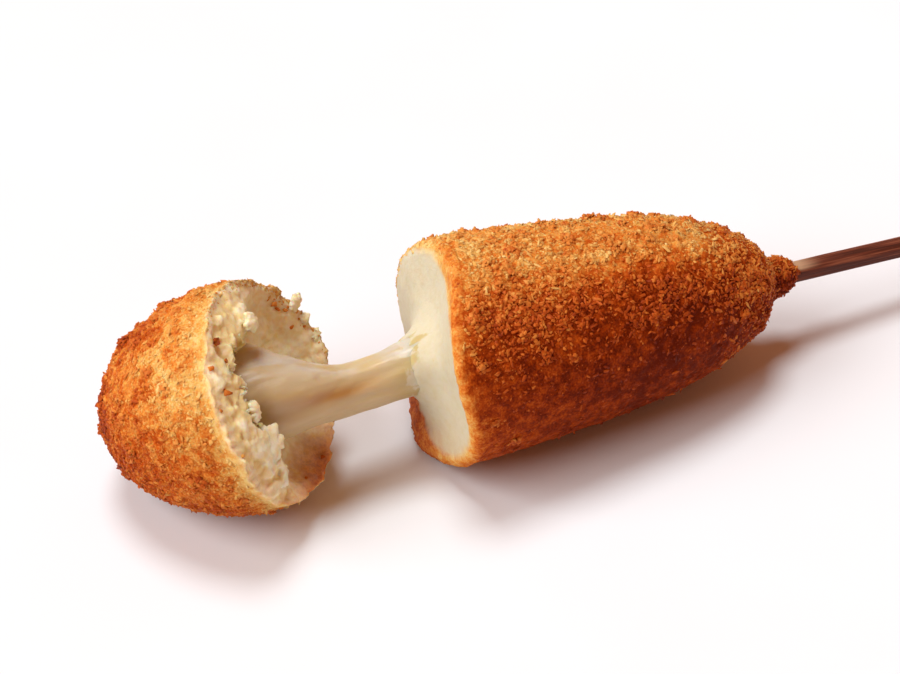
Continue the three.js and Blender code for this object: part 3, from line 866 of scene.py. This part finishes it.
def clumps(surface, centres, sizes, crumbs, darker):
    """Heaps of so many crumbs each, which caught more colour."""
    k, lift = surface.clusters(centres, sizes, crumbs)
    size = draw(*CLUMPED_SIZES, len(k))
    tone = surface.tone[k] * 0.5 + darker + 0.06 * RNG.normal(size=len(k))
    at = surface.at[k] + surface.normals[k] * lift[:, None]
    width, height = size * draw(0.5, 0.9, len(k)), size * draw(0.4, 0.8, len(k))
    return lumps(FLAKE, at, surface.normals[k], size, width, height, tone)


def large_clumps(surface, rows, crumbs, darker):
    """Heaps that show in the photo, from rows of (angle, depth, size)."""
    centres = [surface.face_at(angle, depth) for angle, depth, _ in rows]
    return clumps(surface, centres, [size for _, _, size in rows], crumbs, darker)


def small_clumps(surface, centres, crumbs, darker):
    return clumps(surface, centres, draw(*SMALL_HEAPS, len(centres)), crumbs, darker)


body_face, tip_face = Surface(*body), Surface(*tip)


def band(angle):
    """Where the long pale crumbs stand out most, on the upper near side."""
    return hump(wrap(angle), 46, 18)


def body_density(s):
    sparse = 0.05 * smoothstep(s.behind, 0.3, 3)
    clustered = 0.3 + smoothstep(octaves(s.at, 5, 57), -0.35, 0.4)
    return body_grain(s.angle, s.depth) ** 2.2 * clustered * smoothstep(s.behind, 1.0, 5) + sparse


def banded(s):
    return body_density(s) * (0.2 + band(s.angle))


def knobbly(s):
    """Where the body has small heaps: all over the grainy part of its crust."""
    return body_grain(s.angle, s.depth) ** 2 * smoothstep(s.behind, 1, 4)


def body_lighter(s, k):
    return 0.14 + 0.05 * band(s.angle[k]) + 0.16 * smoothstep(s.depth[k], 48, 66)


def by(amount):
    """The same change of tone everywhere."""
    return lambda s, k: amount


def far_rim(s):
    """Where crumbs show past the body's torn face, along its far and upper edge."""
    return hump(s.angle % 360, 175, 65) * np.exp(-((s.behind + 0.2) ** 2))


def near_rim(s):
    """Where crumbs sit on the tip's thin torn edge."""
    return hump(wrap(s.angle), 35, 45) * hump(s.behind, 0.2, 1.2)


def collar(s):
    """The end of the body, round the stick."""
    return smoothstep(s.depth, 77, 80)


def tip_density(s):
    return smoothstep(s.behind, 0.3, 4)


BODY_CLUMPS = [  # (angle, depth, size)
    (117, 38, 2.8), (117, 48, 2.5), (112, 61, 1.9), (92, 26, 1.8), (88, 12, 1.9),
]
TIP_CLUMPS = [(72, 18, 2.0), (88, 27, 2.3), (126, 33, 2.0), (100, 21, 1.7)]  # (angle, depth, size)
BODY_HEAPS, TIP_HEAPS = 130, 34  # how many small ones


def coat_body():
    more = body_face.scatter(BODY_HEAPS, knobbly)
    add_crumbs(
        "body_grains",
        grains(body_face, count=19000, density=body_density, lighter=body_lighter, variety=0.08),
        grains(body_face, count=800, density=far_rim, lighter=by(-0.04), variety=0.1),
    )
    add_crumbs(
        "body_flakes",
        flakes(body_face, count=3600, density=banded, lighter=body_lighter, variety=0.08),
        large_clumps(body_face, BODY_CLUMPS, crumbs=80, darker=0.28),
        small_clumps(body_face, more, crumbs=26, darker=0.20),
        flakes(body_face, count=260, density=collar, lighter=by(0.16), variety=0.12),
    )


def coat_tip():
    more = tip_face.scatter(TIP_HEAPS, lambda s: smoothstep(s.behind, 3, 8))
    add_crumbs(
        "tip_grains",
        grains(tip_face, count=12500, density=tip_density, lighter=by(0.08), variety=0.07),
        grains(tip_face, count=800, density=near_rim, lighter=by(-0.04), variety=0.12),
    )
    add_crumbs(
        "tip_flakes",
        flakes(tip_face, count=1200, density=tip_density, lighter=by(0.07), variety=0.08),
        large_clumps(tip_face, TIP_CLUMPS, crumbs=60, darker=0.34),
        small_clumps(tip_face, more, crumbs=22, darker=0.27),
    )


coat_body()
coat_tip()


# ---- tatters of bread and stray crumbs in the torn mouth ----
def finer(shape):
    """A shape with each triangle split into four, its points on a unit sphere."""
    points, triangles = shape
    corners = points[triangles]
    middles = unit(corners + np.roll(corners, -1, axis=1))
    a, b, c = corners[:, 0], corners[:, 1], corners[:, 2]
    ab, bc, ca = middles[:, 0], middles[:, 1], middles[:, 2]
    parts = [(a, ab, ca), (ab, b, bc), (ca, bc, c), (ab, bc, ca)]
    corners = np.concatenate([np.stack(part, 1) for part in parts]).reshape(-1, 3)
    keys, index = np.unique(corners.round(5), axis=0, return_inverse=True)
    return unit(keys), index.reshape(-1, 3)


TATTER = finer(finer(finer(FLAKE)))
TATTER_CORNERS = 37  # round its ragged outline
TATTERS = [  # two ends as (angle, radius, depth) in the tip's mouth, width, thickness
    ((184, 19.5, -1.8), (212, 10.2, -2.6), 8.0, 3.0),
    ((222, 21.5, -0.4), (214, 15.4, -1.2), 4.6, 2.2),
    ((80, 17.5, -1.4), (68, 14.2, -1.2), 4.6, 2.0),
    ((158, 15.5, -2.6), (163, 11.4, -2.6), 4.8, 1.8),
    ((13, 22.0, 0.2), (15, 25.6, -1.4), 3.4, 1.2),
    ((3, 22.6, 0.4), (2, 25.1, -0.6), 2.6, 1.0),
    ((-9, 22.6, 0.6), (-10, 25.8, -0.6), 3.0, 1.2),
]


def tatter(first, last, width, thickness, seed):
    """A flat ragged shred of bread from one place in the mouth to another."""
    start, end = (tip_mouth.polar(d, r, math.radians(a)) for a, r, d in (first, last))
    along = unit(end - start)
    across = unit(np.cross(tip_mouth.out, along))
    points, triangles = TATTER
    turn = np.arctan2(points[:, 1], points[:, 0])
    corners = np.random.default_rng(seed).uniform(0.6, 1.15, TATTER_CORNERS)
    ragged = np.interp(turn, ring_angles(TATTER_CORNERS), corners, period=2 * np.pi)
    place = points * np.array([np.linalg.norm(end - start), width, thickness]) / 2
    place[:, :2] *= ragged[:, None]
    place[:, 2] += 0.5 * octaves(place + seed, 3)
    ridges = 0.2 * ridged(place + seed, 1.9) + 0.15 * ridged(place + seed, 0.9)
    place += ridges[:, None] * vertex_normals(place, triangles)
    placed = (start + end) / 2 + place @ np.stack([along, across, np.cross(along, across)])
    return placed, triangles, np.full(len(points), 0.1), vertex_normals(placed, triangles)


def bread_bits(count):
    """Small torn bits all over the thick bread."""
    k = tip_face.scatter(count, lambda s: hump(s.behind, -10.5, 2.2) * hump(s.angle % 360, 152, 52))
    size = draw(*BIT_SIZES, count, 2)
    width, height = size * draw(0.35, 0.8, count), size * draw(0.2, 0.45, count)
    at, normals = tip_face.at[k], tip_face.normals[k]
    return lumps(FLAKE, at, normals, size, width, height, np.zeros(count), raised=0.3, tilt=0.5)


STRAYS = [  # (angle, radius, length, tone) of fried crumbs that fell on the bread
    (111, 22.0, 2.6, 0.52), (122, 19.7, 1.7, 0.45), (128, 22.8, 1.3, 0.4), (141, 20.2, 2.3, 0.45),
    (24, 21.5, 1.8, 0.42), (19, 21.0, 1.5, 0.4), (14, 22.0, 1.4, 0.4), (4, 20.5, 1.5, 0.42),
    (150, 23.0, 1.0, 0.35), (176, 23.2, 1.2, 0.3), (-100, 21.5, 1.2, 0.45), (-80, 22.5, 1.3, 0.5),
]


def stray_place(angle, radius):
    """The face in the torn mouth that is nearest to an angle and a radius."""
    outwards = tip_face.behind + TIP_RADIUS - radius
    return int(np.argmin((wrap(tip_face.angle - angle) * MOUTH_DEGREE) ** 2 + outwards**2))


def stray_crumbs():
    k = [stray_place(angle, radius) for angle, radius, _, _ in STRAYS]
    length, tone = (np.array([row[n] for row in STRAYS]) for n in (2, 3))
    at, normals = tip_face.at[k], tip_face.normals[k]
    return lumps(FLAKE, at, normals, length, 0.7 * length, 0.6 * length, tone, raised=0.7)


tatters = [tatter(*row, n) for n, row in enumerate(TATTERS)]
add_crumbs("bread_shreds", *tatters, skin=tip_skin, bread=0.95)
add_crumbs("bread_bits", bread_bits(count=160), skin=tip_skin, bread=1)
add_crumbs("stray_crumbs", stray_crumbs())


# ---- table, light and camera ----
TABLE_REACH = 4000  # from its middle to each edge
PAPER = [(0.3, (0.745, 0.745, 0.75)), (0.7, (0.76, 0.76, 0.765))]


def build_table():
    side = TABLE_REACH * MM
    corners = [(-side, -side, 0), (side, -side, 0), (side, side, 0), (-side, side, 0)]
    mesh = bpy.data.meshes.new("table")
    mesh.from_pydata(corners, [], [(0, 1, 2, 3)])
    s = Shader("white_paper", (0.9, 0.9, 0.9), Specular_IOR_Level=0.1)
    color = s.ramp(s.noise(60, 2), PAPER)
    mesh.materials.append(s.finish(color, 0.9))
    table = add_object("table", mesh)


LAMPS = {  # name: (where it shines from, size in degrees, strength)
    "key": ((-0.766, 0.0, 0.643), 46, 3.0),
    "top": ((-0.02, 0.23, 0.973), 22, 1.85),
}
LAMP_COLOR = (0.91, 1.0, 1.05)
FILL_STRENGTH, FILL_COLOR = 0.37, (1.0, 0.39, 0.19)  # light from all round


def build_light():
    for name, (source, size, strength) in LAMPS.items():
        light = bpy.data.lights.new(name, "SUN")
        light.energy, light.angle, light.color = strength, math.radians(size), LAMP_COLOR
        turn = Vector(source).to_track_quat("Z", "Y").to_euler()
        add_object(name, light).rotation_euler = turn
    world = bpy.data.worlds.new("studio")
    world.use_nodes = True
    background = world.node_tree.nodes["Background"]
    background.inputs["Color"].default_value = (*FILL_COLOR, 1)
    background.inputs["Strength"].default_value = FILL_STRENGTH
    bpy.context.scene.world = world
    bpy.context.scene.view_settings.view_transform = "Standard"


CAMERA_AT = (-206.609, -372.582, 375.919)
CAMERA_HEADING, CAMERA_DROP = 25.36, 40  # degrees right of +Y, and below the horizon
LENS, SENSOR = 100, 36
NEAREST, FURTHEST = 10, 20000  # what the camera sees, in millimetres from it


def build_camera():
    camera = add_object("camera", bpy.data.cameras.new("camera"))
    camera.data.lens, camera.data.sensor_width = LENS, SENSOR
    camera.data.clip_start, camera.data.clip_end = NEAREST * MM, FURTHEST * MM
    camera.location = [MM * x for x in CAMERA_AT]
    camera.rotation_euler = (math.radians(90 - CAMERA_DROP), 0, math.radians(-CAMERA_HEADING))
    bpy.context.scene.camera = camera


build_table()
build_light()
build_camera()
